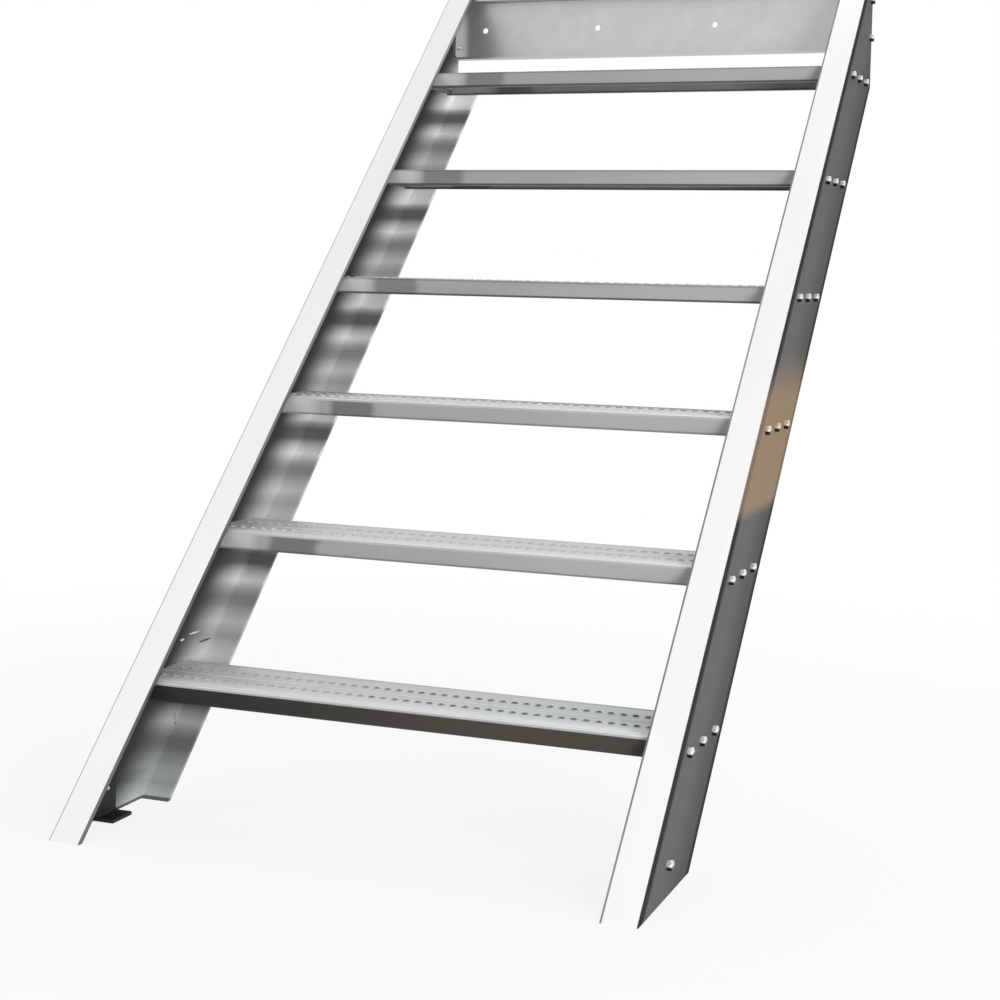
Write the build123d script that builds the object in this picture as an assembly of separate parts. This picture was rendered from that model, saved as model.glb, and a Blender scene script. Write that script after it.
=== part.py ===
from build123d import *
import math
import os

# Aluminium stair: two inclined channel stringers with their webs outwards, folded plank
# treads bolted between them, black angle feet on the floor and a fixing rail at the top.
# Millimetres, +Z up. The stair rises towards +Y and is the same on both sides of X = 0.
# Everything is drawn from the floor, with Y = 0 at the stringers' front toe, and moved
# at the end so that the origin is the middle of the fixing rail's back face.

# Stair as a whole
stair_width = 850.0        # outside of one web to outside of the other
tread_count = 6
rise = 200.0               # top of one tread to top of the next
going = 205.0              # nose of one tread to nose of the next, level
first_rise = 186.0         # floor to the top of the first tread

# Stringers, extruded channel
channel_depth = 168.0      # front face to back face, square to the slope
flange_width = 50.0
channel_wall = 5.0
channel_edge_radius = 2.0  # outer corners
channel_root_radius = 3.0  # inner corners

# Treads, folded sheet with a return lip along both lower edges
tread_height = 28.0
tread_sheet = 2.5
tread_bend_radius = 4.0    # outside of the bends
tread_lip = 14.0           # width of each return lip
groove_width = 4.0         # pressed line along the middle of the top
groove_depth = 0.8
nose_clearance = 4.0       # front flange to the nose, square to the slope
back_clearance = 22.0      # back flange to the lower back edge, square to the slope

# Plates inside the tread ends, and the screws that hold them to the webs
end_plate_thickness = 6.0
end_plate_chamfer = 3.0
screw_hole = 9.0           # clearance hole through a web
screw_drop = 17.0          # top of the tread to the row of screws
screw_inset = 14.0         # nose, and back edge, to the outer screws
screws_per_end = 3

# Feet, short pieces of angle
foot_length = 50.0
foot_height = 70.0
foot_sole = 32.0
foot_thickness = 5.0
foot_root_radius = 4.0
foot_centre = 130.0        # stringer's front toe to the middle of the foot
foot_screw_height = 42.0
foot_anchor_hole = 11.0

# Fixing rail between the stringers' upper ends, folded channel open to the front
rail_height = 120.0
rail_flange = 32.0
rail_sheet = 4.0
rail_bend_radius = 6.0
rail_clearance = 8.0       # front flange to the rail's upper edge, level
rail_anchor_hole = 11.0
rail_anchor_places = (120.0, 360.0)  # middle of the stair to each pair of holes
cleat_thickness = 6.0
cleat_chamfer = 4.0
cleat_screw_pitch = 70.0

# Worked out from the sizes above
pitch = math.atan2(rise, going)
slope = going / rise
landing_height = first_rise + tread_count * rise
clear_width = stair_width - 2 * channel_wall
web_inside = clear_width / 2
nose_setback = (channel_wall + nose_clearance) / math.sin(pitch)
room = channel_depth - 2 * channel_wall - nose_clearance - back_clearance
tread_depth = room / math.sin(pitch) - tread_height * slope
wall_place = landing_height * slope + nose_setback
rail_drop = (rail_flange + rail_clearance - nose_clearance / math.sin(pitch)) / slope
rail_middle = landing_height - rail_drop - rail_height / 2
bar_length = 2 * (landing_height + channel_depth) / math.sin(pitch)
levels = [first_rise + step * rise for step in range(tread_count)]
to_origin = Pos(0, -wall_place, -rail_middle)


def tread_middle(level):
    """Middle of a tread's section, in the YZ plane."""
    nose = level * slope + nose_setback
    return Pos(nose + tread_depth / 2, level - tread_height / 2)


def spread(count, gap):
    """Evenly spaced places about zero."""
    return [(number - (count - 1) / 2) * gap for number in range(count)]


def along_x(profile, start, length):
    """Solid of a profile drawn in the YZ plane, from X = start over a length."""
    return extrude(Plane.YZ.offset(start) * profile, amount=length)


def folded_section(depth, height, sheet, bend_radius):
    """Closed box section of folded sheet, centred on its own middle."""
    outside = RectangleRounded(depth, height, bend_radius)
    inside = RectangleRounded(depth - 2 * sheet, height - 2 * sheet, bend_radius - sheet)
    return outside - inside


def plate_section(depth, height, corner):
    """Plate with its four corners cut off, to clear the bends around it."""
    plate = Rectangle(depth, height)
    return chamfer(plate.vertices(), corner)


def web_holes():
    """The (y, z) places of all screw holes through one web."""
    places = [(foot_centre, foot_screw_height)]
    gap = (tread_depth - 2 * screw_inset) / (screws_per_end - 1)
    for level in levels:
        middle = tread_middle(level).position.X
        height = level - screw_drop
        places += [(middle + place, height) for place in spread(screws_per_end, gap)]
    for place in spread(2, cleat_screw_pitch):
        places.append((wall_place - rail_flange / 2, rail_middle + place))
    return places


def channel_section():
    """Channel with its web on the left and its front face along the top edge."""
    outside = Rectangle(flange_width, channel_depth, align=(Align.MIN, Align.MAX))
    web_corners = outside.vertices().sort_by(Axis.X)[:2]
    outside = fillet(web_corners, channel_edge_radius)
    inside = Pos(channel_wall, -channel_wall) * Rectangle(
        flange_width, channel_depth - 2 * channel_wall, align=(Align.MIN, Align.MAX)
    )
    root_corners = inside.vertices().sort_by(Axis.X)[:2]
    inside = fillet(root_corners, channel_root_radius)
    return outside - inside


def left_stringer():
    """Channel along the slope, cut level at the floor and the landing, plumb at the back."""
    across = Plane(
        origin=(-stair_width / 2, 0, 0),
        x_dir=(1, 0, 0),
        z_dir=(0, -math.cos(pitch), -math.sin(pitch)),
    )
    bar = extrude(across * channel_section(), amount=bar_length / 2, both=True)
    keep = Pos(-stair_width / 2, wall_place, 0) * Box(
        3 * flange_width, 2 * wall_place, landing_height,
        align=(Align.CENTER, Align.MAX, Align.MIN),
    )
    circles = Sketch() + [Pos(y, z) * Circle(screw_hole / 2) for y, z in web_holes()]
    drill = along_x(circles, -web_inside - 2 * channel_wall, 3 * channel_wall)
    return bar & keep - drill


def tread(level):
    """Folded plank, open below between its return lips, with a groove along its top."""
    section = folded_section(tread_depth, tread_height, tread_sheet, tread_bend_radius)
    mouth = Rectangle(tread_depth - 2 * tread_lip, 4 * tread_sheet)
    groove = Rectangle(groove_width, 2 * groove_depth)
    section -= Pos(0, -tread_height / 2) * mouth
    section -= Pos(0, tread_height / 2) * groove
    return along_x(tread_middle(level) * section, -web_inside, clear_width)


def end_plate(level):
    """Plate inside the left end of a tread, flat against the web."""
    section = plate_section(
        tread_depth - 2 * tread_sheet, tread_height - 2 * tread_sheet, end_plate_chamfer
    )
    return along_x(tread_middle(level) * section, -web_inside, end_plate_thickness)


def left_foot():
    """Angle with one leg on the web and the other on the floor."""
    outside = Rectangle(foot_sole, foot_height, align=(Align.MIN, Align.MIN))
    inside = Pos(foot_thickness, foot_thickness) * Rectangle(
        foot_sole, foot_height, align=(Align.MIN, Align.MIN)
    )
    root = inside.vertices().sort_by(Axis.X)[:2].sort_by(Axis.Y)[:1]
    section = outside - fillet(root, foot_root_radius)
    front = Plane(
        origin=(-web_inside, foot_centre, 0), x_dir=(1, 0, 0), z_dir=(0, -1, 0)
    )
    angle = extrude(front * section, amount=foot_length / 2, both=True)
    anchor = Pos(-web_inside + (foot_thickness + foot_sole) / 2, foot_centre, 0)
    angle -= anchor * Cylinder(foot_anchor_hole / 2, 3 * foot_thickness)
    screw = Pos(-web_inside, foot_centre, foot_screw_height) * Rot(0, 90, 0)
    return angle - screw * Cylinder(screw_hole / 2, 3 * foot_thickness)


def fixing_rail():
    """Folded channel whose back face bears on the edge of the landing."""
    section = folded_section(2 * rail_flange, rail_height, rail_sheet, rail_bend_radius)
    section -= Pos(-rail_flange, 0) * Rectangle(2 * rail_flange, rail_height)
    middle = Pos(wall_place - rail_flange, rail_middle)
    rail = along_x(middle * section, -web_inside, clear_width)
    for distance in rail_anchor_places:
        for place in (-distance, distance):
            hole = Pos(place, wall_place, rail_middle) * Rot(90, 0, 0)
            rail -= hole * Cylinder(rail_anchor_hole / 2, 3 * rail_sheet)
    return rail


def rail_cleat():
    """Plate inside the left end of the fixing rail, flat against the web."""
    depth = rail_flange - rail_sheet
    section = plate_section(depth, rail_height - 2 * rail_sheet, cleat_chamfer)
    middle = Pos(wall_place - rail_sheet - depth / 2, rail_middle)
    return along_x(middle * section, -web_inside, cleat_thickness)


def write(shape, node):
    """Writes one piece in the stair's own frame."""
    export_step(to_origin * shape, f"parts/{node}.step")


def write_pair(shape, name):
    """Writes a left-hand piece and its mirror image."""
    write(shape, f"left_{name}")
    write(mirror(shape, about=Plane.YZ), f"right_{name}")


os.makedirs("parts", exist_ok=True)
write_pair(left_stringer(), "stringer")
write_pair(left_foot(), "foot")
for number, level in enumerate(levels, start=1):
    write(tread(level), f"tread_{number}")
    write_pair(end_plate(level), f"end_plate_{number}")
write(fixing_rail(), "fixing_rail")
write_pair(rail_cleat(), "rail_cleat")
print(f"pitch {math.degrees(pitch):.2f} degrees, landing at {landing_height:.0f} mm")
print(f"tread depth {tread_depth:.2f}, nose set back {nose_setback:.2f}")
print(f"front toe at Y {-wall_place:.2f}, floor at Z {-rail_middle:.2f}")
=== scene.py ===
import math

import bpy
import numpy as np
from mathutils import Matrix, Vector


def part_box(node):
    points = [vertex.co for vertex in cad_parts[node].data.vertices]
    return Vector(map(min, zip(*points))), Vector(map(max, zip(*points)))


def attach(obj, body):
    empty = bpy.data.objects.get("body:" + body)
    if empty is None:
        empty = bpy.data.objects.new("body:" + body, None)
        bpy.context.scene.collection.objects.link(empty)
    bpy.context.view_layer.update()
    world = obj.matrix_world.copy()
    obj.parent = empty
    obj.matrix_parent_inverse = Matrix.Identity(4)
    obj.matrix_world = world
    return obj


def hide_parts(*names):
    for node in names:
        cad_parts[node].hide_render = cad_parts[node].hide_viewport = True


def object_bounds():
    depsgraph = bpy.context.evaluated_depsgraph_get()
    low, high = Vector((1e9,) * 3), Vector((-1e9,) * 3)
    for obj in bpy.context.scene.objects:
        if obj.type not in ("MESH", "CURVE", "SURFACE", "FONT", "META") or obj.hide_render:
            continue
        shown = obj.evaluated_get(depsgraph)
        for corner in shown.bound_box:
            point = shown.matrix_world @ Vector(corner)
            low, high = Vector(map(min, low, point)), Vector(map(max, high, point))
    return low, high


# Aluminium stair: perforated planks between two channel stringers, on black angle feet.
# Metres, +Z up, the stair rises towards +Y. The floor is under the stringers' level cuts.

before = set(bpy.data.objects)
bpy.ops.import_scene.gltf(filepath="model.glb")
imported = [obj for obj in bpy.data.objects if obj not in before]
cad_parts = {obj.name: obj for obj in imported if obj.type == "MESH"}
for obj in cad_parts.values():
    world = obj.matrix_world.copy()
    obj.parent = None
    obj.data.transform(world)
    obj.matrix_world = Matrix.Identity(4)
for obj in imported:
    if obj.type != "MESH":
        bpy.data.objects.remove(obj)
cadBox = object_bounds()
print("frame loaded:", len(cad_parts), "nodes")

toe = cadBox[0].y       # stringers' front toe
floorLevel = cadBox[0].z
webFace = cadBox[1].x   # outside of a web
treadNames = sorted(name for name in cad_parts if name.startswith("tread_"))


# Shader maths

class Value:
    # A socket that adds Math nodes when it is used in arithmetic
    def __init__(self, nodes, socket):
        self.nodes = nodes
        self.socket = socket

    def maths(self, operation, *values):
        return self.nodes.node("ShaderNodeMath", {"operation": operation}, values)

    def __add__(self, other):
        return self.maths("ADD", self, other)

    def __sub__(self, other):
        return self.maths("SUBTRACT", self, other)

    def __rsub__(self, other):
        return self.maths("SUBTRACT", other, self)

    def __mul__(self, other):
        return self.maths("MULTIPLY", self, other)

    def __abs__(self):
        return self.maths("ABSOLUTE", self)

    __radd__ = __add__
    __rmul__ = __mul__

    def fraction(self):
        return self.maths("FRACT", self)

    def larger(self, other):
        return self.maths("MAXIMUM", self, other)


class Nodes:
    # A node tree, and one way to add any node to it
    def __init__(self, tree):
        self.tree = tree
        tree.nodes.clear()

    def node(self, kind, settings=None, values=(), output=0):
        made = self.tree.nodes.new(kind)
        for name, setting in (settings or {}).items():
            if name == "stops":
                ramp = made.color_ramp
                while len(ramp.elements) < len(setting):
                    ramp.elements.new(0.5)
                for element, (place, colour) in zip(ramp.elements, setting):
                    element.position = place
                    element.color = (*colour, 1)
            else:
                setattr(made, name, setting)
        pairs = values.items() if isinstance(values, dict) else enumerate(values)
        for key, value in pairs:
            self.feed(made.inputs[key], value)
        return Value(self, made.outputs[output])

    def feed(self, socket, value):
        if isinstance(value, Value):
            self.tree.links.new(value.socket, socket)
        else:
            socket.default_value = value

    def seenRay(self):
        # 1 for what the camera sees itself, or by way of metal and glass
        kinds = ("Is Camera Ray", "Is Glossy Ray", "Is Transmission Ray")
        seen, mirrored, through = (
            self.node("ShaderNodeLightPath", output=kind) for kind in kinds
        )
        return seen.larger(mirrored).larger(through)


class Finish(Nodes):
    # One material with a Principled shader
    def __init__(self, name, **fixed):
        self.material = bpy.data.materials.new(name)
        self.material.use_nodes = True
        super().__init__(self.material.node_tree)
        self.shader = self.tree.nodes.new("ShaderNodeBsdfPrincipled")
        self.output = self.tree.nodes.new("ShaderNodeOutputMaterial")
        self.tree.links.new(self.shader.outputs[0], self.output.inputs[0])
        self.set(**fixed)

    def set(self, **inputs):
        for socket, value in inputs.items():
            self.feed(self.shader.inputs[socket.replace("_", " ")], value)

    def where(self):
        # the object's own coordinates
        return self.node("ShaderNodeTexCoord", output=3)

    def split(self, where):
        # their x, y and z
        return [self.node("ShaderNodeSeparateXYZ", None, [where], n) for n in range(3)]

    def step(self, value, low, high):
        # 0 below low, 1 above high, smooth between; low may be the larger of the two
        return self.node(
            "ShaderNodeMapRange", {"interpolation_type": "SMOOTHSTEP"},
            {0: value, 1: low, 2: high, 3: 0.0, 4: 1.0},
        )

    def noise(self, where, scale, detail=3.0, roughness=0.6):
        return self.node(
            "ShaderNodeTexNoise", None,
            {"Vector": where, "Scale": scale, "Detail": detail, "Roughness": roughness},
        )

    def streaks(self, where, counts, detail=4.0, roughness=0.6, turn=0.0):
        # noise with its own count to a metre along each axis, turned about X first
        turned = self.node(
            "ShaderNodeMapping", {"vector_type": "POINT"},
            {"Vector": where, "Rotation": (turn, 0.0, 0.0)},
        )
        stretched = self.node(
            "ShaderNodeVectorMath", {"operation": "MULTIPLY"}, [turned, counts]
        )
        return self.noise(stretched, 1.0, detail, roughness)

    def blend(self, factor, first, second, how="MIX"):
        first, second = (
            colour if isinstance(colour, Value) else (*colour, 1.0)
            for colour in (first, second)
        )
        return self.node(
            "ShaderNodeMix",
            {"data_type": "RGBA", "blend_type": how, "clamp_result": False},
            {0: factor, 6: first, 7: second}, 2,
        )

    def bump(self, height, distance):
        bumped = self.node("ShaderNodeBump", None, {"Height": height, "Distance": distance})
        self.set(Normal=bumped)


def grey(level):
    return (level, level, level)


# Camera, at the photograph's viewing angle

cameraView = {
    "right": 1.0428,        # from the middle of the stair
    "before": 2.1529,       # in front of the toe
    "above": 0.7939,        # over the floor
    "yaw": 20.70,           # degrees towards -X
    "pitch": -3.81,
    "roll": 1.262,
    "focalPixels": 1862.8,
    "frameSide": 1000,      # pixels
    "sensor": 36.0,         # millimetres
    "axisRow": 400,         # row of the frame that the lens axis meets
}


def makeCamera(v):
    yaw, pitch, roll = (math.radians(v[key]) for key in ("yaw", "pitch", "roll"))
    ahead = np.array([
        -math.sin(yaw) * math.cos(pitch), math.cos(yaw) * math.cos(pitch), math.sin(pitch)
    ])
    level = np.array([math.cos(yaw), math.sin(yaw), 0.0])
    up = np.cross(level, ahead)
    right = math.cos(roll) * level + math.sin(roll) * up
    top = math.cos(roll) * up - math.sin(roll) * level
    place = Matrix(np.column_stack([right, top, -ahead]).tolist()).to_4x4()
    place.translation = (v["right"], toe - v["before"], floorLevel + v["above"])
    lens = bpy.data.cameras.new("stairCamera")
    lens.sensor_width = v["sensor"]
    lens.lens = v["sensor"] * v["focalPixels"] / v["frameSide"]
    lens.shift_y = (v["axisRow"] - v["frameSide"] / 2) / v["frameSide"]
    camera = bpy.data.objects.new("stairCamera", lens)
    bpy.context.collection.objects.link(camera)
    camera.matrix_world = place
    bpy.context.scene.camera = camera


makeCamera(cameraView)
print("camera placed")


# Meshes from arrays

sharpFrom = math.radians(40)    # edges turned by more than this stay sharp


def makePiece(name, vertices, blocks, finishes, faceFinish=None, tags=None):
    # blocks are arrays of faces, each with its own number of corners
    faces = [face for block in blocks for face in block.tolist()]
    mesh = bpy.data.meshes.new(name)
    mesh.from_pydata(vertices.tolist(), [], faces)
    for finish in finishes:
        mesh.materials.append(finish)
    if faceFinish is not None:
        mesh.polygons.foreach_set("material_index", faceFinish.astype(np.int32))
    mesh.polygons.foreach_set("use_smooth", np.ones(len(faces), bool))
    for tag, values in (tags or {}).items():
        attribute = mesh.attributes.new(tag, "FLOAT", "POINT")
        attribute.data.foreach_set("value", values.astype(np.float32))
    mesh.update()
    mesh.set_sharp_from_angle(angle=sharpFrom)
    piece = bpy.data.objects.new(name, mesh)
    bpy.context.collection.objects.link(piece)
    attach(piece, "root")
    return piece


def ringFaces(rows, columns):
    # quads between neighbouring rows of closed rings
    row, column = np.meshgrid(np.arange(rows - 1), np.arange(columns), indexing="ij")
    after = (column + 1) % columns
    corners = [row * columns + column, (row + 1) * columns + column,
               (row + 1) * columns + after, row * columns + after]
    return np.stack(corners, axis=-1).reshape(-1, 4)


# Treads

plank = {
    "sheet": 0.0025,
    "bend": 0.004,            # outside radius
    "bendSteps": 5,
    "lip": 0.014,
    "rowOffset": 0.028,       # middle of the tread to each row of holes
    "holePitch": 0.018,
    "holeCount": 45,
    "cellSteps": 4,           # grid steps along each side of the square round a hole
    "grooveWidth": 0.004,
    "grooveDepth": 0.0008,
    "grooveSlope": 0.0008,
    "lineInset": 0.0115,      # nose to the fine pressed line behind it
    "lineDepth": 0.0005,
    # radius and height of a pressed hole's rings, from the sheet's top to its underside
    "holeRings": [(0.0062, 0.0), (0.0053, 0.0002), (0.0047, 0.0008), (0.0042, 0.0013),
                  (0.0037, 0.0014), (0.0033, 0.0009), (0.0032, -0.0004), (0.0032, -0.0025)],
    "collarSide": (2, 3),     # steps between rings on the collar's outer side
    "holeInside": 5,          # first step inside the hole
}


def plankLoops(depth, height, p):
    # Outer and inner line of the folded sheet, point for point. Each bend is a quarter
    # circle, its inner line the same circle less the sheet, and the flats are straight.
    sheet, bend = p["sheet"], p["bend"]
    turn = np.linspace(0, math.pi / 2, p["bendSteps"] + 1)
    middle, cell = depth / 2, p["holePitch"] / 2
    squares = [middle + side * p["rowOffset"] + np.linspace(-cell, cell, p["cellSteps"] + 1)
               for side in (-1, 1)]
    half, slant = p["grooveWidth"] / 2, p["grooveSlope"]
    groove = middle + np.array([-half - slant, -half, half, half + slant])
    line = p["lineInset"] + np.array([-slant, 0.0, slant])
    flat = np.concatenate([line, squares[0], groove, squares[1], depth - line[::-1]])
    drop = np.zeros(len(flat))
    drop[[1, -2]] = p["lineDepth"]
    drop[np.isin(flat, groove[1:3])] = p["grooveDepth"]

    def bendAt(centreY, centreZ, start, radius):
        angle = start - turn
        return np.column_stack([centreY + radius * np.cos(angle),
                                centreZ + radius * np.sin(angle)])

    def side(radius, lip, shift, sink):
        first = bendAt(bend, -height + bend, 3 * math.pi / 2, radius)
        second = bendAt(bend, -bend, math.pi, radius)
        third = bendAt(depth - bend, -bend, math.pi / 2, radius)
        fourth = bendAt(depth - bend, -height + bend, 0.0, radius)
        top = np.column_stack([flat, -shift - sink])
        ends = np.array([[lip, -height + shift], [depth - lip, -height + shift]])
        return np.vstack([ends[:1], first, second, top, third, fourth, ends[1:]])

    outer = side(bend, p["lip"], 0.0, drop)
    inner = side(bend - sheet, p["lip"], sheet, np.zeros(len(flat)))
    # the lip's end, two bends and the pressed line come before the first square
    firstCell = 1 + 2 * len(turn) + len(line)
    secondCell = firstCell + len(squares[0]) + len(groove)
    return outer, inner, [firstCell, secondCell]


def plankMesh(length, depth, height, p):
    # The sheet's closed outline is carried along X. Round each hole the square of the grid
    # is left out, above and below, and rings lead from it over the collar and down again.
    outer, inner, cellStarts = plankLoops(depth, height, p)
    loop = np.vstack([outer, inner[::-1]])
    points, steps, count = len(loop), p["cellSteps"], p["holeCount"]
    run = p["holePitch"] * count / 2
    along = np.concatenate([[-length / 2], np.linspace(-run, run, count * steps + 1),
                            [length / 2]])
    grid = np.empty((len(along), points, 3))
    grid[:, :, 0] = along[:, None]
    grid[:, :, 1:] = loop[None]
    faces = ringFaces(len(along), points)
    keep = np.ones((len(along) - 1, points), bool)
    for start in cellStarts:
        under = 2 * len(outer) - 1 - start - steps
        keep[1:-1, start:start + steps] = False
        keep[1:-1, under:under + steps] = False
    sheetFaces = faces[keep.ravel()]
    outside = np.arange(len(outer) - 1)
    inside = points - 1 - outside
    cap = np.stack([outside, outside + 1, inside - 1, inside], axis=-1)
    farCap = cap[:, ::-1] + (len(along) - 1) * points

    # the square's corners and sides, once round, as steps along X and across
    ticks = np.arange(steps)
    zero, full = np.zeros(steps, int), np.full(steps, steps)
    roundX = np.concatenate([ticks, full, steps - ticks, zero])
    roundY = np.concatenate([zero, ticks, full, steps - ticks])
    angle = np.arctan2(roundY - steps / 2, roundX - steps / 2)
    even = np.linspace(angle[0], angle[0] + 2 * math.pi, len(angle), endpoint=False)
    radius, rise = np.array(p["holeRings"]).T
    rings = np.empty((len(radius), len(angle), 3))
    rings[:, :, 0] = radius[:, None] * np.cos(even)
    rings[:, :, 1] = radius[:, None] * np.sin(even)
    rings[:, :, 2] = rise[:, None]

    vertices, holeFaces = [grid.reshape(-1, 3)], []
    total = grid.shape[0] * points
    sides = len(angle)
    for start in cellStarts:
        for number in range(count):
            left = 1 + number * steps
            above = (left + roundX) * points + start + roundY
            below = (left + roundX) * points + points - 1 - start - roundY
            centre = [along[left] + p["holePitch"] / 2, loop[start + steps // 2][0], 0.0]
            vertices.append((rings + centre).reshape(-1, 3))
            ids = total + np.arange(rings.shape[0] * sides).reshape(-1, sides)
            total += ids.size
            lines = np.vstack([above, ids, below])
            after = np.roll(lines, -1, axis=1)
            quads = np.stack([lines[:-1], after[:-1], after[1:], lines[1:]], axis=-1)
            holeFaces.append(quads.reshape(-1, 4))
    # which finish each step between rings has: 0 the sheet, 1 the hole, 2 the collar
    step = np.arange(len(lines) - 1)
    collar = np.isin(step, p["collarSide"])
    marked = np.repeat(np.where(step >= p["holeInside"], 1, np.where(collar, 2, 0)), sides)
    blocks = [sheetFaces, cap, farCap, *holeFaces]
    marks = [np.zeros(len(block), int) for block in blocks[:3]]
    return np.vstack(vertices), blocks, np.concatenate(marks + [marked] * len(holeFaces))


# Finishes

stair = {                     # sizes that the finishes follow
    "slope": math.radians(44.29),
    "rise": 0.200,
    "firstTop": 0.186,        # top of the first tread over the floor
    "noseSlope": 1.025,       # going by rise
    "noseSetback": 0.01289,
}

# painted warm reflection, on the right web's outside and on the screws there
paintedWarmReflection = {                 # on the right web's outside, under halfway up
    "lower": (0.440, 0.464),  # heights over the floor between which it fades in
    "upper": (0.690, 0.600),
    "rightOnly": (0.0, 0.01),   # x between which it sets in
    "onWeb": (0.30, 0.220, 0.145),
    "onScrews": (0.68, 0.60, 0.45),
    "strength": 0.92,
}

stringerLook = {
    # streaks to a metre across the stair, along the slope and square to it
    "brushing": (40.0, 3.0, 900.0),
    "clouds": (9.0, 2.5, 14.0),
    "brushed": (0.3, 0.43, 0.57),       # strength and greys of the brushing
    "flange": (0.85, 0.96),
    # painted dark reflection along a flange's free edge
    "paintedEdgeLine": 0.10,                    # line along a flange's free edge
    "outlineAt": (0.0468, 0.0478),      # in from the web's outside
    "outlineBy": (0.5, 0.7),            # its strength, and what the clouds add to it
    # painted dark reflection on the web's outside, lifted on the left web
    "web": (0.135, 0.096),              # outside, front to back
    "webFade": (0.060, 0.150),
    "leftOnly": (0.0, -0.01),           # x between which it sets in
    "leftLift": 0.08,                   # white added to the left web
    # painted dark reflections along the web's front and back edges
    "webEdge": 0.030,                   # lines along the web's front and back edges
    "webMiddle": 0.084,
    "edgeReach": (0.0630, 0.0760),      # from the web's middle
    "edgeStrength": (0.94, 0.6),        # and how much the warm patch takes from it
    # painted shade on the web's inner face close behind the front flange
    "inside": 0.045,                    # web's inner face close behind the front flange
    "insideFade": (0.072, 0.162),
    # painted shade in the inner corner of web and back flange
    "root": 0.84,                       # darker inner corner of web and back flange
    "rootSide": (0.0090, 0.0070),       # in from the web's outside
    "rootDepth": (0.1590, 0.1610),
    "lowTint": (0.78, 0.95, 0.88),      # cooler towards the floor
    "lowTintReach": (0.10, 0.03),
    "lowTintBy": 0.5,
    # painted shade in a thin line along the level cut
    "bottomShade": 0.03,                 # along the level cut
    "bottomReach": (0.006, 0.003),
    "bottomBy": 0.8,
    "frontFace": (0.0030, 0.0045),      # depth over which the front face ends
    "backFace": (0.1675, 0.1665),       # and where the back face begins
    "webSkin": (0.0022, 0.0014),        # in from the web's outside
    "metal": (0.60, 0.54),              # metallic on the faces, and how much less elsewhere
    "roughness": (0.34, 0.12),
    "grain": 0.00008,
}

# painted reflections of the treads and painted shade in level bands, one set to a rise
paintedInnerReflections = {                # bands that the left stringer mirrors, one set to a rise
    "start": 0.676,           # height of one light band over the floor
    "period": 0.196,
    "greys": [(0.0, 0.84), (0.06, 0.60), (0.13, 0.17), (0.20, 0.17), (0.245, 0.40),
              (0.28, 0.86), (0.32, 0.95), (0.40, 0.95), (0.47, 0.76), (0.60, 0.46),
              (0.66, 0.55), (0.70, 0.66), (0.78, 0.48), (0.83, 0.33), (0.88, 0.31),
              (0.93, 0.45), (1.0, 0.84)],
    "slant": 0.37,            # they slope in front of this depth and under this height
    "levelDepth": 0.163,
    "levelHeight": 0.79,
    "shiftFrom": 0.6,         # above and below this height they come a little later
    "shift": 0.18,
    "wobble": (20.0, 9.0, 9.0),
    "wobbleBy": 0.04,
    # heights between which painted shade grows downwards, and by how much
    "paintedShade": [((0.40, 0.30), 0.10), ((0.19, 0.15), 0.28)],
    # painted light near the floor, which takes some of that shade away
    "paintedFloorLight": ((0.045, 0.025), 0.3),   # and lighter again near the floor
}

scuffs = {                    # a few marks on the left web's inside
    # y from the toe, height, reaches and grey
    "marks": [(0.418, 0.2075, 0.022, 0.0022, 0.02), (0.349, 0.2200, 0.007, 0.0021, 0.80),
              (0.385, 0.2250, 0.018, 0.0018, 0.80), (0.328, 0.1010, 0.0012, 0.0090, 0.03)],
    "onWeb": (0.0075, 0.0065),  # in from the web's outside
    "grain": 260.0,
    "ragged": 2.4,            # how far the grain moves a mark's edge
    "edge": (1.0, 0.4),
    "strength": 0.8,
}


def inFromWeb(insets):
    return [webFace - inset for inset in insets]


def warmReflectionMark(f, x, height, v):
    # 1 on the painted warm reflection
    right = f.step(x, *v["rightOnly"])
    return f.step(height, *v["lower"]) * f.step(height, *v["upper"]) * right


def paintInnerReflections(f, where, height, depth, v):
    # Painted reflections of the treads and painted shade, in bands that come back at every
    # rise. They slope a little on the web, more so lower down, and are level on the back
    # flange.
    wobble = f.streaks(where, v["wobble"], detail=2.0, roughness=0.5)
    slant = (v["levelDepth"] - depth) * (v["levelHeight"] - height) * v["slant"]
    away = height - v["shiftFrom"]
    phase = (height - slant - v["start"]) * (1 / v["period"]) - away * away * v["shift"]
    phase = phase + (wobble - 0.5) * v["wobbleBy"]
    stops = [(place, grey(value)) for place, value in v["greys"]]
    paintedBands = f.node("ShaderNodeValToRGB", {"stops": stops}, [phase.fraction()])
    # painted shade growing downwards, and painted light again near the floor
    (first, firstShade), (second, secondShade) = v["paintedShade"]
    reach, light = v["paintedFloorLight"]
    dark = f.step(height, *first) * firstShade + f.step(height, *second) * secondShade
    return f.blend(dark - f.step(height, *reach) * light, paintedBands, grey(0.0))


def scuffed(f, where, x, y, height, colour, v):
    fine = f.noise(where, v["grain"], detail=2.0, roughness=0.5)
    onLeftWeb = f.step(x, *(inset - webFace for inset in v["onWeb"]))
    for y0, height0, reachY, reachZ, level in v["marks"]:
        # squared distance from the mark's middle, in its reaches, with a ragged edge
        a, b = (y - toe - y0) * (1 / reachY), (height - height0) * (1 / reachZ)
        ragged = a * a + b * b + (fine - 0.5) * v["ragged"]
        mark = f.step(ragged, *v["edge"]) * onLeftWeb
        colour = f.blend(mark * v["strength"], colour, grey(level))
    return colour


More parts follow.
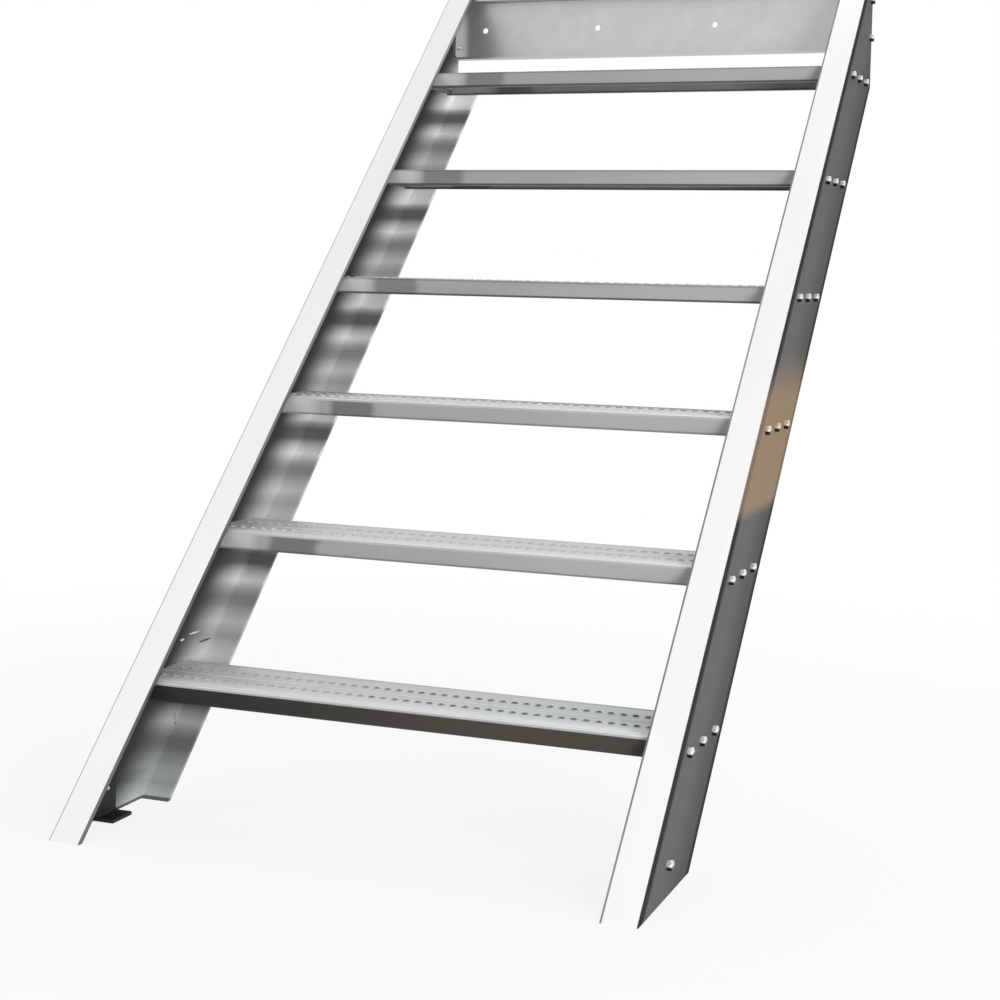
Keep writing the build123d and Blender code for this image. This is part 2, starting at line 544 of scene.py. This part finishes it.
def stringerFinish(v):
    # Bright flanges, a painted dark reflection on the web's outside, and soft level bands
    # inside: painted reflections of the treads and painted shade
    f = Finish("brushedChannel", Specular_IOR_Level=0.0)
    where = f.where()
    x, y, z = f.split(where)
    side, height = abs(x), z - floorLevel
    # depth behind the front flanges' plane, square to the slope
    depth = (y - toe) * math.sin(stair["slope"]) - height * math.cos(stair["slope"])
    turn = -stair["slope"]
    brushed = f.streaks(where, v["brushing"], turn=turn)
    cloud = f.streaks(where, v["clouds"], detail=3.0, roughness=0.55, turn=turn)
    face = f.blend(cloud, *map(grey, v["flange"]))
    # painted dark reflection along the flange's free edge, mottled
    line, (least, more) = f.step(side, *inFromWeb(v["outlineAt"])), v["outlineBy"]
    face = f.blend(line * (least + cloud * more), face, grey(v["paintedEdgeLine"]))

    paintedBands = paintInnerReflections(f, where, height, depth, paintedInnerReflections)
    # painted shade close behind the front flange, passing into the bands
    inside = f.blend(f.step(depth, *v["insideFade"]), grey(v["inside"]), paintedBands)
    # painted shade in the inner corner of web and back flange
    root = f.step(side, *inFromWeb(v["rootSide"])) * f.step(depth, *v["rootDepth"])
    inside = f.blend(root, inside, grey(v["root"]), "MULTIPLY")
    low = f.step(height, *v["lowTintReach"]) * v["lowTintBy"]
    inside = f.blend(low, inside, v["lowTint"], "MULTIPLY")
    # painted shade along the level cut
    bottomShadeMask = f.step(height, *v["bottomReach"]) * v["bottomBy"]
    inside = f.blend(bottomShadeMask, inside, grey(v["bottomShade"]))
    inside = scuffed(f, where, x, y, height, inside, scuffs)

    # painted dark reflection on the web's outside, darker towards the back and lifted on
    # the left web
    web = f.blend(f.step(depth, *v["webFade"]), *map(grey, v["web"]))
    web = f.blend(f.step(x, *v["leftOnly"]) * v["leftLift"], web, grey(1.0))
    # painted warm reflection on the right web
    warmReflection = warmReflectionMark(f, x, height, paintedWarmReflection)
    web = f.blend(warmReflection * paintedWarmReflection["strength"], web, paintedWarmReflection["onWeb"])
    web = f.blend(cloud, web, grey(0.5), "OVERLAY")
    # painted dark reflections along the web's front and back edges, weaker on the warm
    # reflection
    strength, lessWarm = v["edgeStrength"]
    edge = f.step(abs(depth - v["webMiddle"]), *v["edgeReach"])
    web = f.blend(edge * (strength - warmReflection * lessWarm), web, grey(v["webEdge"]))

    behind = f.step(depth, *v["frontFace"]) * f.step(depth, *v["backFace"])
    outside = f.step(side, *inFromWeb(v["webSkin"]))
    colour = f.blend(outside, f.blend(behind, face, inside), web)
    strength, dark, light = v["brushed"]
    lines = f.blend(brushed, grey(dark), grey(light))
    metal, less = v["metal"]
    rough, rougher = v["roughness"]
    f.set(Base_Color=f.blend(strength, colour, lines, "OVERLAY"))
    f.set(Metallic=metal - behind.larger(outside) * less)
    f.set(Roughness=brushed * rougher + rough)
    f.bump(brushed, v["grain"])
    return f.material


treadLook = {
    "clouds": (7.0, 30.0, 30.0),
    "rolling": (4.0, 500.0, 500.0),     # streaks to a metre along the tread and across
    "rolled": (0.25, 0.42, 0.58),       # strength and greys of the rolling
    "top": (0.80, 0.93),
    "lowTint": (0.72, 0.87, 0.81),      # cooler on the lowest tread's right half
    "lowTintReach": (0.0, 0.25),
    "lowTintRagged": 0.4,               # how far the clouds move its edge
    "lowTintBy": 0.6,
    # painted highlight on the top's margin behind the nose
    "noseHighlight": 0.92,
    "marginBy": 0.6,
    "marginFade": (0.050, 0.030),       # behind the nose
    # painted sheen on the tops from the second tread up, most on the third
    "paintedSheen": 0.93,                      # the tops from the second tread up
    "secondUp": ((0.25, 0.35), 0.45),
    "thirdSheen": 0.7,
    "backShade": 0.12,
    "backFade": (0.147, 0.154),
    "backStrength": (0.35, 0.20, 0.30),  # on all treads, more on the third and its right
    "backWider": 0.020,
    "nose": 0.46,
    "noseRound": (0.0002, 0.0012),      # depths under the top
    # painted shade on the fronts of the same pale sheet, less of it towards the right end
    "front": (0.30, 0.385),
    "frontRight": 0.43,
    "rightFade": (-0.10, 0.25),
    "rightBy": 0.5,
    # painted highlight on the fronts' left ends
    "frontLeft": 0.53,
    "leftFade": (-0.315, -0.345),
    "leftBy": 0.9,
    "zone": 0.135,                      # dark zone on the front
    "zoneAt": (0.262, 0.018),           # left of the middle, and more on the upper treads
    "zoneReach": (0.048, 0.030),
    "zoneRagged": 0.03,
    "zoneStrength": (0.85, 0.20),       # and how much less on the upper treads
    # painted shade on the lowest tread's front, brown-grey
    "brownShade": ((0.028, 0.028, 0.025), (0.060, 0.054, 0.044)),  # lowest front, left to right
    "brownFade": (-0.20, 0.25),
    "brownRagged": 0.2,
    "lowestEnds": (0.02, 0.01),         # the lowest tread's colours, over its top
    # painted shade in a dark line along the front's lower bend
    "under": 0.060,                     # dark line along the front's lower edge
    "underFade": (0.0235, 0.0255),
    "underStrength": (0.40, 0.45),      # and how much more on the upper treads
    "underUpper": (0.62, 0.72),
    "upperTreads": (0.60, 0.72),        # the fourth and up
    "bend": (0.0025, 0.0045),           # where the top's colour passes into the front's
    "bendHigher": 0.003,                # sooner by this on the upper treads
    # painted shade on the upper treads' bend
    "upperBendShade": 0.70,
    "upperBendFade": (0.0045, 0.0020),
    "metallic": 0.22,
    "roughness": (0.38, 0.10),
    "grain": 0.00005,
}


thirdLook = {                 # the third tread, which is seen almost edge on
    "lower": (0.45, 0.55),    # heights over the floor between which its colours set in
    "upper": (0.74, 0.66),
    # x between which the painted shade line along its back grows
    "shadeLineGrows": (-0.30, 0.10),         # x between which the line along its back grows
}


def thirdTread(f, height):
    # 1 on the third tread
    lower, upper = thirdLook["lower"], thirdLook["upper"]
    return f.step(height, *lower) * f.step(height, *upper)


def plankTop(f, x, behind, height, cloud, lowest, v):
    top = f.blend(cloud, *map(grey, v["top"]))
    tint = f.step(x + (cloud - 0.5) * v["lowTintRagged"], *v["lowTintReach"]) * lowest
    top = f.blend(tint * v["lowTintBy"], top, v["lowTint"])
    # painted highlight behind the nose
    highlight = f.step(behind, *v["marginFade"]) * v["marginBy"]
    top = f.blend(highlight, top, grey(v["noseHighlight"]))
    # painted sheen on the upper treads' tops
    reach, strength = v["secondUp"]
    top = f.blend(f.step(height, *reach) * strength, top, grey(v["paintedSheen"]))
    edgeOn = thirdTread(f, height)
    top = f.blend(edgeOn * v["thirdSheen"], top, grey(v["paintedSheen"]))
    # painted shade in a line along the back, more on the third tread and to its right
    every, onThird, onRight = v["backStrength"]
    line = every + edgeOn * (onThird + f.step(x, *thirdLook["shadeLineGrows"]) * onRight)
    back = f.step(behind + edgeOn * v["backWider"], *v["backFade"])
    return f.blend(back * line, top, grey(v["backShade"]))


def plankFront(f, x, below, height, cloud, lowest, high, v):
    left, further = v["zoneAt"]
    place = x + left + high * further + (cloud - 0.5) * v["zoneRagged"]
    zone = f.step(abs(place), *v["zoneReach"])
    # painted shade on the front, less of it towards the right end
    face = f.blend(cloud, *map(grey, v["front"]))
    rightEnd = f.step(x, *v["rightFade"]) * v["rightBy"]
    face = f.blend(rightEnd, face, grey(v["frontRight"]))
    strength, less = v["zoneStrength"]
    face = f.blend(zone * (strength - high * less), face, grey(v["zone"]))
    # painted highlight on the front's left end
    leftHighlight = f.step(x, *v["leftFade"]) * v["leftBy"]
    face = f.blend(leftHighlight, face, grey(v["frontLeft"]))
    # painted shade on the lowest tread's front
    brownShade = f.blend(f.step(x + cloud * v["brownRagged"], *v["brownFade"]), *v["brownShade"])
    face = f.blend(lowest, face, brownShade)
    # painted shade along the front's lower bend, more on the upper treads
    strength, more = v["underStrength"]
    under = strength + f.step(height, *v["underUpper"]) * more
    return f.blend(f.step(below, *v["underFade"]) * under, face, grey(v["under"]))


def plankFinish(v):
    # Mill aluminium, pale on top, with painted shade on the grey fronts and a brown-grey
    # painted shade on the lowest tread's front
    f = Finish("millPlank", Specular_IOR_Level=0.15)
    where = f.where()
    x, y, z = f.split(where)
    height = z - floorLevel
    cloud = f.streaks(where, v["clouds"])
    rolled = f.streaks(where, v["rolling"])
    level = (height - stair["firstTop"]) * (1 / stair["rise"])
    below = (0.5 - (level + 0.5).fraction()) * stair["rise"]    # depth under the top
    behind = (y - toe) - (height + below) * stair["noseSlope"] - stair["noseSetback"]
    lowest = f.step(height, *(stair["firstTop"] + over for over in v["lowestEnds"]))
    high = f.step(height, *v["upperTreads"])
    top = plankTop(f, x, behind, height, cloud, lowest, v)
    top = f.blend(f.step(below, *v["noseRound"]), top, grey(v["nose"]))
    face = plankFront(f, x, below, height, cloud, lowest, high, v)
    # the bend between them keeps a pale painted highlight on the lower treads and takes the
    # front's grey and painted shade on the upper ones
    colour = f.blend(f.step(below + high * v["bendHigher"], *v["bend"]), top, face)
    bend = f.step(below, *v["upperBendFade"]) * high
    colour = f.blend(bend, colour, grey(v["upperBendShade"]), "MULTIPLY")
    strength, dark, light = v["rolled"]
    lines = f.blend(rolled, grey(dark), grey(light))
    rough, rougher = v["roughness"]
    f.set(Base_Color=f.blend(strength, colour, lines, "OVERLAY"))
    f.set(Metallic=v["metallic"], Roughness=cloud * rougher + rough)
    f.bump(rolled, v["grain"])
    return f.material


holeLook = {
    "mottle": 60.0,
    "fadeLeft": (0.05, -0.20),          # x between which the holes grow faint
    "fadeRagged": 0.5,                  # how far the mottling moves that edge
    "upward": ((0.4, 0.6), (1.4, 1.6)),  # rises over the lowest: second, and third up
    "fainter": (0.88, 0.12),            # on the second, and what the third adds
    # painted shade inside the holes, and fainter greys where it fades
    "hole": (0.03, 0.12),
    "faintHole": (0.50, 0.86),          # on the lowest tread, and from the third up
    # painted shade on the collars' outer side, and fainter greys where it fades
    "collar": (0.12, 0.36),
    "faintCollar": (0.45, 0.80),
    "faintness": 0.95,
    # painted shade on the back row of the third tread's collars
    "backRowShade": 0.20,                    # on the third tread
    "backRowFrom": (0.075, 0.085),      # behind the nose
    "backRowStrength": (0.4, 0.5),      # and how much more to the right
}


def paleMark(f, x, z, cloud, v):
    # 1 where the holes hardly show: towards the left, and on all treads but the lowest.
    # The second value goes from 0 on the lowest tread to 1 on the third and above.
    left = f.step(x + (cloud - 0.5) * v["fadeRagged"], *v["fadeLeft"])
    level = (z - floorLevel - stair["firstTop"]) * (1 / stair["rise"])
    second, higher = (f.step(level, *reach) for reach in v["upward"])
    onSecond, added = v["fainter"]
    pale = left.larger(second * onSecond + higher * added)
    return pale, (second + higher) * 0.5


def holeFinish(v):
    # painted shade inside the pressed holes: dark, and less so towards the left
    f = Finish("pressedHoleShade", Metallic=0.2, Specular_IOR_Level=0.2, Roughness=0.5)
    where = f.where()
    x, y, z = f.split(where)
    cloud = f.noise(where, v["mottle"])
    pale, upper = paleMark(f, x, z, cloud, v)
    faint = f.blend(upper, *map(grey, v["faintHole"]))
    dark = f.blend(cloud, *map(grey, v["hole"]))
    f.set(Base_Color=f.blend(pale * v["faintness"], dark, faint))
    return f.material


def collarShadeFinish(v):
    # painted shade on the outer side of the pressed collars, darker than the sheet round
    # them
    f = Finish("pressedCollarShade", Metallic=0.2, Specular_IOR_Level=0.2, Roughness=0.4)
    where = f.where()
    x, y, z = f.split(where)
    cloud = f.noise(where, v["mottle"])
    pale, upper = paleMark(f, x, z, cloud, v)
    faint = f.blend(upper, *map(grey, v["faintCollar"]))
    # painted shade on the back row of the third tread draws a dark line along it
    height = z - floorLevel
    behind = (y - toe) - height * stair["noseSlope"] - stair["noseSetback"]
    row = f.step(behind, *v["backRowFrom"]) * thirdTread(f, height)
    strength, more = v["backRowStrength"]
    line = row * (strength + f.step(x, *thirdLook["shadeLineGrows"]) * more)
    faint = f.blend(line, faint, grey(v["backRowShade"]))
    dark = f.blend(cloud, *map(grey, v["collar"]))
    f.set(Base_Color=f.blend(pale * v["faintness"], dark, faint))
    return f.material


screwLook = {
    "mottle": 200.0,
    "zinc": (0.62, 0.85),
    "shade": 0.015,
    "shadeFrom": (-0.05, 0.35),         # drop under the middle, over the washer's radius
    "roughness": (0.3, 0.1),
}


def screwFinish(v):
    # zinc, dark on the shaded lower half of each head
    f = Finish("zincScrew", Metallic=0.75)
    where = f.where()
    x, y, z = f.split(where)
    drop = f.node("ShaderNodeAttribute", {"attribute_name": "drop"}, output=2)
    mottle = f.noise(where, v["mottle"])
    bright = f.blend(mottle, *map(grey, v["zinc"]))
    # the painted warm reflection, also on the screws
    warmReflection = warmReflectionMark(f, x, z - floorLevel, paintedWarmReflection)
    bright = f.blend(warmReflection, bright, paintedWarmReflection["onScrews"])
    rough, rougher = v["roughness"]
    f.set(Base_Color=f.blend(f.step(drop, *v["shadeFrom"]), bright, grey(v["shade"])))
    f.set(Roughness=mottle * rougher + rough)
    return f.material


plainLooks = {
    "satinPlate": {"greys": (0.30, 0.42), "metallic": 0.8, "specular": 0.5,
                   "roughness": 0.34, "mottle": 60.0},
    "satinRail": {"greys": (0.48, 0.62), "metallic": 0.8, "specular": 0.5,
                  "roughness": 0.32, "mottle": 25.0},
    "blackPowderCoat": {"greys": (0.006, 0.020), "metallic": 0.0, "specular": 0.2,
                        "roughness": 0.50, "mottle": 40.0},
}


plainGrain = {
    "finer": 12,              # times as fine as the mottling
    "rougher": 0.12,          # what the mottling adds to the roughness
    "height": 0.00006,
}


def plainFinish(name, v):
    # mottled metal or paint, with a fine grain
    f = Finish(name, Metallic=v["metallic"])
    where = f.where()
    mottle = f.noise(where, v["mottle"], detail=4.0)
    fine = f.noise(where, v["mottle"] * plainGrain["finer"])
    rough = mottle * plainGrain["rougher"] + v["roughness"]
    f.set(Base_Color=f.blend(mottle, *map(grey, v["greys"])))
    f.set(Roughness=rough, Specular_IOR_Level=v["specular"])
    f.bump(fine, plainGrain["height"])
    return f.material


channelMetal = stringerFinish(stringerLook)
plankMetal = plankFinish(treadLook)
holeMetal = holeFinish(holeLook)
collarShadeMetal = collarShadeFinish(holeLook)
plateMetal, railMetal, footPaint = (
    plainFinish(name, look) for name, look in plainLooks.items()
)
zinc = screwFinish(screwLook)

nodeFinishes = {
    "stringer": channelMetal, "tread": plankMetal, "plate": plateMetal,
    "rail": railMetal, "cleat": plateMetal, "foot": footPaint,
}
for name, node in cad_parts.items():
    # the last key that the name holds, so that a rail's cleat counts as a cleat
    kind = [key for key in nodeFinishes if key in name][-1]
    node.data.materials.clear()
    node.data.materials.append(nodeFinishes[kind])
print("finishes made:", len(bpy.data.materials))


# Perforated planks in place of the plain ones

for number, name in enumerate(treadNames, 1):
    low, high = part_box(name)
    vertices, blocks, marks = plankMesh(
        high.x - low.x, high.y - low.y, high.z - low.z, plank
    )
    piece = makePiece(
        f"plank{number}", vertices + [0.0, low.y, high.z], blocks,
        [plankMetal, holeMetal, collarShadeMetal], marks,
    )
    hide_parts(name)
print("planks made:", len(treadNames))


# Screws: a domed hexagon head on a washer, its shank through the wall behind

screw = {
    "flats": 0.013,
    "head": 0.0060,
    "washer": 0.0068,         # radius
    "washerThickness": 0.0012,
    "shank": 0.004,
    "shankLength": 0.0135,    # behind the washer
    "tip": (0.8, 0.001),      # radius over the shank's, and length
    "edge": 0.82,             # height of the head's sharp edge over its own
    # radius over half the flats, and height over the head's
    "dome": [(1.06, 0.90), (0.96, 1.0)],
    "sides": 24,
    "turns": (0.35, 0.65),    # smallest and largest turn about the axis
    "seed": 4,
    "pitch": 0.06616,         # between the three at a tread's end
    "drop": 0.017,            # under the tread's top
    "footPlace": (0.130, 0.042),
    "railPlaces": [(1.41754, 1.25756), (1.41754, 1.32756)],
}


def screwRings(p):
    # Rings of radius and height along the axis. Round the head the radius follows a
    # hexagon: half the width over flats / cosine of the angle folded to its side.
    angle = np.linspace(0, 2 * math.pi, p["sides"], endpoint=False)
    folded = (angle + math.pi / 6) % (math.pi / 3) - math.pi / 6
    hexagon = p["flats"] / 2 / np.cos(folded)
    circle = np.ones(p["sides"])
    thick, head, half = p["washerThickness"], p["head"], p["flats"] / 2
    narrow, tipLength = p["tip"]
    profile = [
        (p["shank"] * narrow * circle, -p["shankLength"]),
        (p["shank"] * circle, -p["shankLength"] + tipLength),
        (p["shank"] * circle, 0.0), (p["washer"] * circle, 0.0),
        (p["washer"] * circle, thick), (hexagon, thick),
        (hexagon, thick + head * p["edge"]),
    ]
    profile += [(np.minimum(hexagon, half * wide), thick + head * tall)
                for wide, tall in p["dome"]]
    radius = np.array([ring for ring, _ in profile])
    points = np.empty((len(profile), p["sides"], 3))
    points[:, :, 0] = np.array([[level] for _, level in profile])
    points[:, :, 1] = radius * np.cos(angle)
    points[:, :, 2] = radius * np.sin(angle)
    return points


def copiesOnWeb(points, places, side, p):
    # The rings copied to every place on a web, each turned by its own angle, with a flat
    # face over the first and last ring
    rings, sides = points.shape[:2]
    flat = points.reshape(-1, 3)
    turn = np.random.default_rng(p["seed"]).uniform(*p["turns"], len(places))
    cos, sin = np.cos(turn)[:, None], np.sin(turn)[:, None]
    copies = np.empty((len(places), len(flat), 3))
    copies[:, :, 0] = side * (webFace + flat[:, 0])
    copies[:, :, 1] = toe + places[:, :1] + flat[:, 1] * cos - flat[:, 2] * sin
    copies[:, :, 2] = floorLevel + places[:, 1:] + flat[:, 1] * sin + flat[:, 2] * cos
    starts = (np.arange(len(places)) * len(flat))[:, None]
    around = ringFaces(rings, sides)[:, ::-1]
    blocks = [(around[None] + starts[:, :, None]).reshape(-1, 4),
              np.arange(sides)[::-1] + starts,
              np.arange(sides) + (rings - 1) * sides + starts]
    if side < 0:
        blocks = [block[:, ::-1] for block in blocks]
    drop = (floorLevel + places[:, 1:] - copies[:, :, 2]) / flat[:, 2].max()
    return copies.reshape(-1, 3), blocks, drop.ravel()


def screwPlaces(p):
    # y and z from the toe and the floor: three at each tread's end, the foot and the rail
    ends = []
    for name in treadNames:
        low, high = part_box(name)
        middle, level = (low.y + high.y) / 2 - toe, high.z - floorLevel - p["drop"]
        ends += [(middle + step * p["pitch"], level) for step in (-1, 0, 1)]
    return np.array(ends + [p["footPlace"]] + p["railPlaces"])


rings, places = screwRings(screw), screwPlaces(screw)
for side, name in ((-1, "leftScrews"), (1, "rightScrews")):
    vertices, blocks, drop = copiesOnWeb(rings, places, side, screw)
    makePiece(name, vertices, blocks, [zinc], tags={"drop": drop})
print("screws made:", 2 * len(places))


# Floor, light and world

studio = {
    "floorSize": 9.0,
    "floorGrey": 0.82,
    "floorGlow": 0.85,        # share of plain white in the floor's look close by
    "glowMiddle": 0.7,        # behind the toe
    "glowReach": (2.0, 0.9),  # all white beyond the first distance from that middle
    "fill": 0.50,             # world's strength on the object
    "keyPlace": (4.2, -3.9, 0.9),
    "keySize": 2.4,
    "keyPower": 285.0,
    "backPlace": (0.4, 3.6, 3.4),
    "backSize": 2.0,
    "backPower": 80.0,
}


def floorFinish(s):
    f = Finish("paleFloor", Base_Color=(*grey(s["floorGrey"]), 1), Roughness=0.8)
    white = f.node("ShaderNodeEmission", None, {"Color": (1, 1, 1, 1), "Strength": 1.0})
    middle = (0.0, toe + s["glowMiddle"], floorLevel)
    away = f.node("ShaderNodeVectorMath", {"operation": "DISTANCE"}, [f.where(), middle], 1)
    factor = f.seenRay() * (1.0 - f.step(away, *s["glowReach"]) * (1.0 - s["floorGlow"]))
    shaded = Value(f, f.shader.outputs[0])
    mixed = f.node("ShaderNodeMixShader", None, [factor, shaded, white])
    f.feed(f.output.inputs[0], mixed)
    return f.material


def makeFloor(s):
    half = s["floorSize"] / 2
    corners = [(-half, toe - half, floorLevel), (half, toe - half, floorLevel),
               (half, toe + half, floorLevel), (-half, toe + half, floorLevel)]
    mesh = bpy.data.meshes.new("studioFloor")
    mesh.from_pydata(corners, [], [(0, 1, 2, 3)])
    mesh.materials.append(floorFinish(s))
    floor = bpy.data.objects.new("studioFloor", mesh)
    bpy.context.collection.objects.link(floor)


def makeLamp(name, place, size, power):
    lamp = bpy.data.lights.new(name, "AREA")
    lamp.shape = "DISK"
    lamp.size = size
    lamp.energy = power
    body = bpy.data.objects.new(name, lamp)
    bpy.context.collection.objects.link(body)
    middle = (cadBox[0] + cadBox[1]) / 2
    body.location = (place[0], toe + place[1], floorLevel + place[2])
    body.rotation_euler = (middle - body.location).to_track_quat("-Z", "Y").to_euler()


def makeWorld(s):
    # white to the camera and in reflections, and a plain fill on everything else
    world = bpy.data.worlds.new("whiteRoom")
    world.use_nodes = True
    room = Nodes(world.node_tree)
    fill, white = (
        room.node("ShaderNodeBackground", None, {"Color": (1, 1, 1, 1), "Strength": level})
        for level in (s["fill"], 1.0)
    )
    mixed = room.node("ShaderNodeMixShader", None, [room.seenRay(), fill, white])
    output = room.tree.nodes.new("ShaderNodeOutputWorld")
    room.feed(output.inputs[0], mixed)
    bpy.context.scene.world = world


makeFloor(studio)
makeLamp("keyLamp", studio["keyPlace"], studio["keySize"], studio["keyPower"])
makeLamp("backLamp", studio["backPlace"], studio["backSize"], studio["backPower"])
makeWorld(studio)
bpy.context.scene.view_settings.view_transform = "Standard"
print("floor, lamps and world placed")
